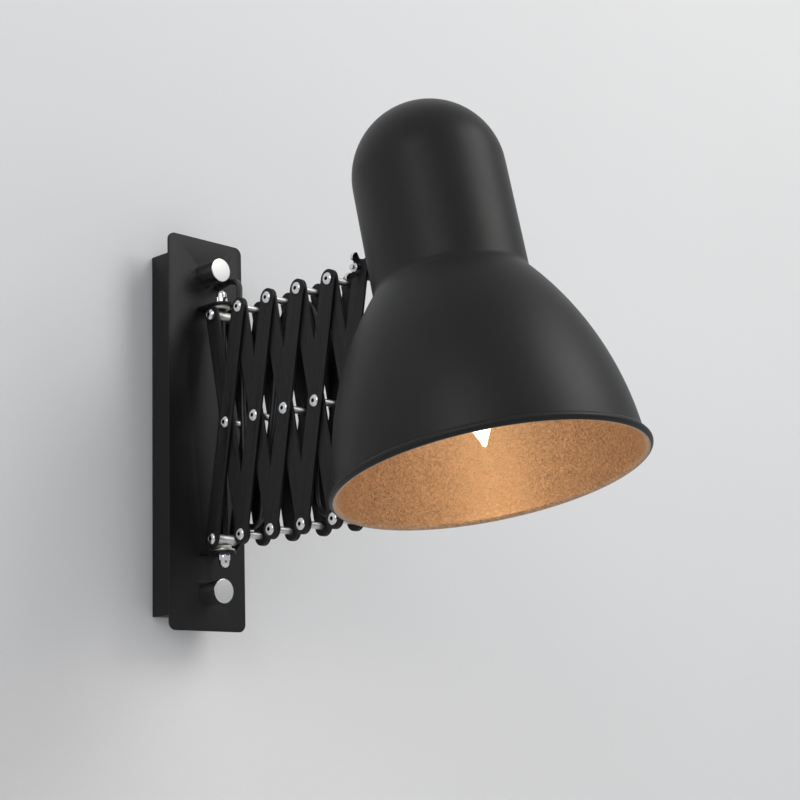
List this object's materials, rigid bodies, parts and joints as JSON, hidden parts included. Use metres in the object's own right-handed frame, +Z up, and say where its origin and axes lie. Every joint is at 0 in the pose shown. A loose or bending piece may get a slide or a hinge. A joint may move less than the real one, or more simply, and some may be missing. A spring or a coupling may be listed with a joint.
{
  "type": "accordion wall lamp",
  "caption": "Wall lamp with a bell shade on a scissor-lattice arm that folds out, swivels on an upright rod and tilts at the head.",
  "frame": {"origin": "centre of the mounting strap's back face, on the wall", "axes": "+Z up, -Y out of the wall towards the room, +X to the right of someone facing the wall"},
  "size_m": [0.2088, 0.4133, 0.3409],
  "materials": {
    "black_steel": "satin powder coat",
    "black_shade": "satin black outside, gold lacquer inside",
    "zinc_steel": "zinc plated",
    "chrome": "polished",
    "lamp_metal": "plain",
    "lamp_glass": "clear, warm when lit",
    "holder_plastic": "matte",
    "nylon": "white nylon",
    "terminal_plastic": "plain",
    "black_plastic": "matte",
    "cord_jacket": "smooth black jacket"
  },
  "bodies": {
    "wall_unit": {"wall_box": "black_steel", "front_plate": "black_steel", "thumb_nuts": "chrome", "mounting_strap": "zinc_steel", "plate_studs": "zinc_steel", "terminal_block": "terminal_plastic", "cord_gland": "black_plastic", "upper_tab": "black_steel", "lower_tab": "black_steel", "guide_rod": "black_steel", "cap_nuts": "chrome", "steel_washer": "zinc_steel", "nylon_washers": "nylon", "cord": "cord_jacket"},
    "swivel": {"lower_collar": "chrome", "lower_collar_screws": "chrome"},
    "upper_slider": {"upper_collar": "chrome", "upper_collar_screws": "chrome", "upper_collar_washers": "chrome"},
    "rising_1": {"rising_link_1_near": "black_steel", "rising_link_1_far": "black_steel", "pivot_spacers_1": "chrome", "pivot_screws_1": "chrome"},
    "falling_1": {"falling_link_1_near": "black_steel", "falling_link_1_far": "black_steel"},
    "rising_2": {"rising_link_2_near": "black_steel", "rising_link_2_far": "black_steel", "pivot_spacers_2": "chrome", "pivot_screws_2": "chrome"},
    "falling_2": {"falling_link_2_near": "black_steel", "falling_link_2_far": "black_steel"},
    "rising_3": {"rising_link_3_near": "black_steel", "rising_link_3_far": "black_steel", "pivot_spacers_3": "chrome", "pivot_screws_3": "chrome"},
    "falling_3": {"falling_link_3_near": "black_steel", "falling_link_3_far": "black_steel"},
    "rising_4": {"rising_link_4_near": "black_steel", "rising_link_4_far": "black_steel", "pivot_spacers_4": "chrome", "pivot_screws_4": "chrome"},
    "falling_4": {"falling_link_4_near": "black_steel", "falling_link_4_far": "black_steel"},
    "rising_5": {"rising_link_5_near": "black_steel", "rising_link_5_far": "black_steel", "pivot_spacers_5": "chrome", "pivot_screws_5": "chrome", "head_pivot_bolt": "chrome"},
    "falling_5": {"falling_link_5": "black_steel"},
    "head": {"shade_bracket": "black_shade", "bracket_rivets": "zinc_steel", "shade": "black_shade", "holder_shelf": "zinc_steel", "lampholder": "holder_plastic", "holder_nipple": "zinc_steel", "nipple_nut": "zinc_steel", "lamp_cap": "lamp_metal", "lamp_glass": "lamp_glass", "shade_bushing": "black_plastic"},
    "wing": {"wing_nut": "chrome"}
  },
  "joints": [
    {"name": "arm_swivel", "type": "hinge", "parent": "wall_unit", "child": "swivel", "pos_m": [0, -0.051, -0.0846], "axis": [0, 0, 1], "range_deg": [-75, 75]},
    {"name": "lattice_fold", "type": "hinge", "parent": "swivel", "child": "rising_1", "pos_m": [0, -0.051, -0.0846], "axis": [1, 0, 0], "range_deg": [-2.5, 29], "deforming": ["cord"]},
    {"name": "crossing_1", "type": "hinge", "parent": "rising_1", "child": "falling_1", "pos_m": [0, -0.06699, 0], "axis": [1, 0, 0], "range_deg": [-58.5, 5.5]},
    {"name": "upper_collar_pivot", "type": "hinge", "parent": "falling_1", "child": "upper_slider", "pos_m": [0, -0.051, 0.0846], "axis": [1, 0, 0], "range_deg": [-3, 29.5]},
    {"name": "top_pivot_1", "type": "hinge", "parent": "rising_1", "child": "falling_2", "pos_m": [0, -0.08297, 0.0846], "axis": [1, 0, 0], "range_deg": [-58.5, 5.5]},
    {"name": "crossing_2", "type": "hinge", "parent": "falling_2", "child": "rising_2", "pos_m": [0, -0.09896, 0], "axis": [1, 0, 0], "range_deg": [-5.5, 58.5]},
    {"name": "bottom_pivot_2", "type": "hinge", "parent": "falling_2", "child": "rising_3", "pos_m": [0, -0.11494, -0.0846], "axis": [1, 0, 0], "range_deg": [-5.5, 58.5]},
    {"name": "crossing_3", "type": "hinge", "parent": "rising_3", "child": "falling_3", "pos_m": [0, -0.13093, 0], "axis": [1, 0, 0], "range_deg": [-58.5, 5.5]},
    {"name": "top_pivot_3", "type": "hinge", "parent": "rising_3", "child": "falling_4", "pos_m": [0, -0.14691, 0.0846], "axis": [1, 0, 0], "range_deg": [-58.5, 5.5]},
    {"name": "crossing_4", "type": "hinge", "parent": "falling_4", "child": "rising_4", "pos_m": [0, -0.1629, 0], "axis": [1, 0, 0], "range_deg": [-5.5, 58.5]},
    {"name": "bottom_pivot_4", "type": "hinge", "parent": "falling_4", "child": "rising_5", "pos_m": [0, -0.17889, -0.0846], "axis": [1, 0, 0], "range_deg": [-5.5, 58.5]},
    {"name": "crossing_5", "type": "hinge", "parent": "rising_5", "child": "falling_5", "pos_m": [0, -0.19487, 0], "axis": [1, 0, 0], "range_deg": [-58.5, 5.5]},
    {"name": "head_tilt", "type": "hinge", "parent": "rising_5", "child": "head", "pos_m": [0, -0.21086, 0.0846], "axis": [-1, 0, 0], "range_deg": [-6, 75]},
    {"name": "wing_nut_turn", "type": "hinge", "parent": "rising_5", "child": "wing", "pos_m": [0, -0.21086, 0.0846], "axis": [-1, 0, 0], "range_deg": [0, 180]}
  ],
  "couplings": [
    {"joint": "crossing_1", "follows": "lattice_fold", "ratio": -2},
    {"joint": "upper_collar_pivot", "follows": "lattice_fold", "ratio": 1},
    {"joint": "top_pivot_1", "follows": "lattice_fold", "ratio": -2},
    {"joint": "crossing_2", "follows": "lattice_fold", "ratio": 2},
    {"joint": "bottom_pivot_2", "follows": "lattice_fold", "ratio": 2},
    {"joint": "crossing_3", "follows": "lattice_fold", "ratio": -2},
    {"joint": "top_pivot_3", "follows": "lattice_fold", "ratio": -2},
    {"joint": "crossing_4", "follows": "lattice_fold", "ratio": 2},
    {"joint": "bottom_pivot_4", "follows": "lattice_fold", "ratio": 2},
    {"joint": "crossing_5", "follows": "lattice_fold", "ratio": -2}
  ]
}
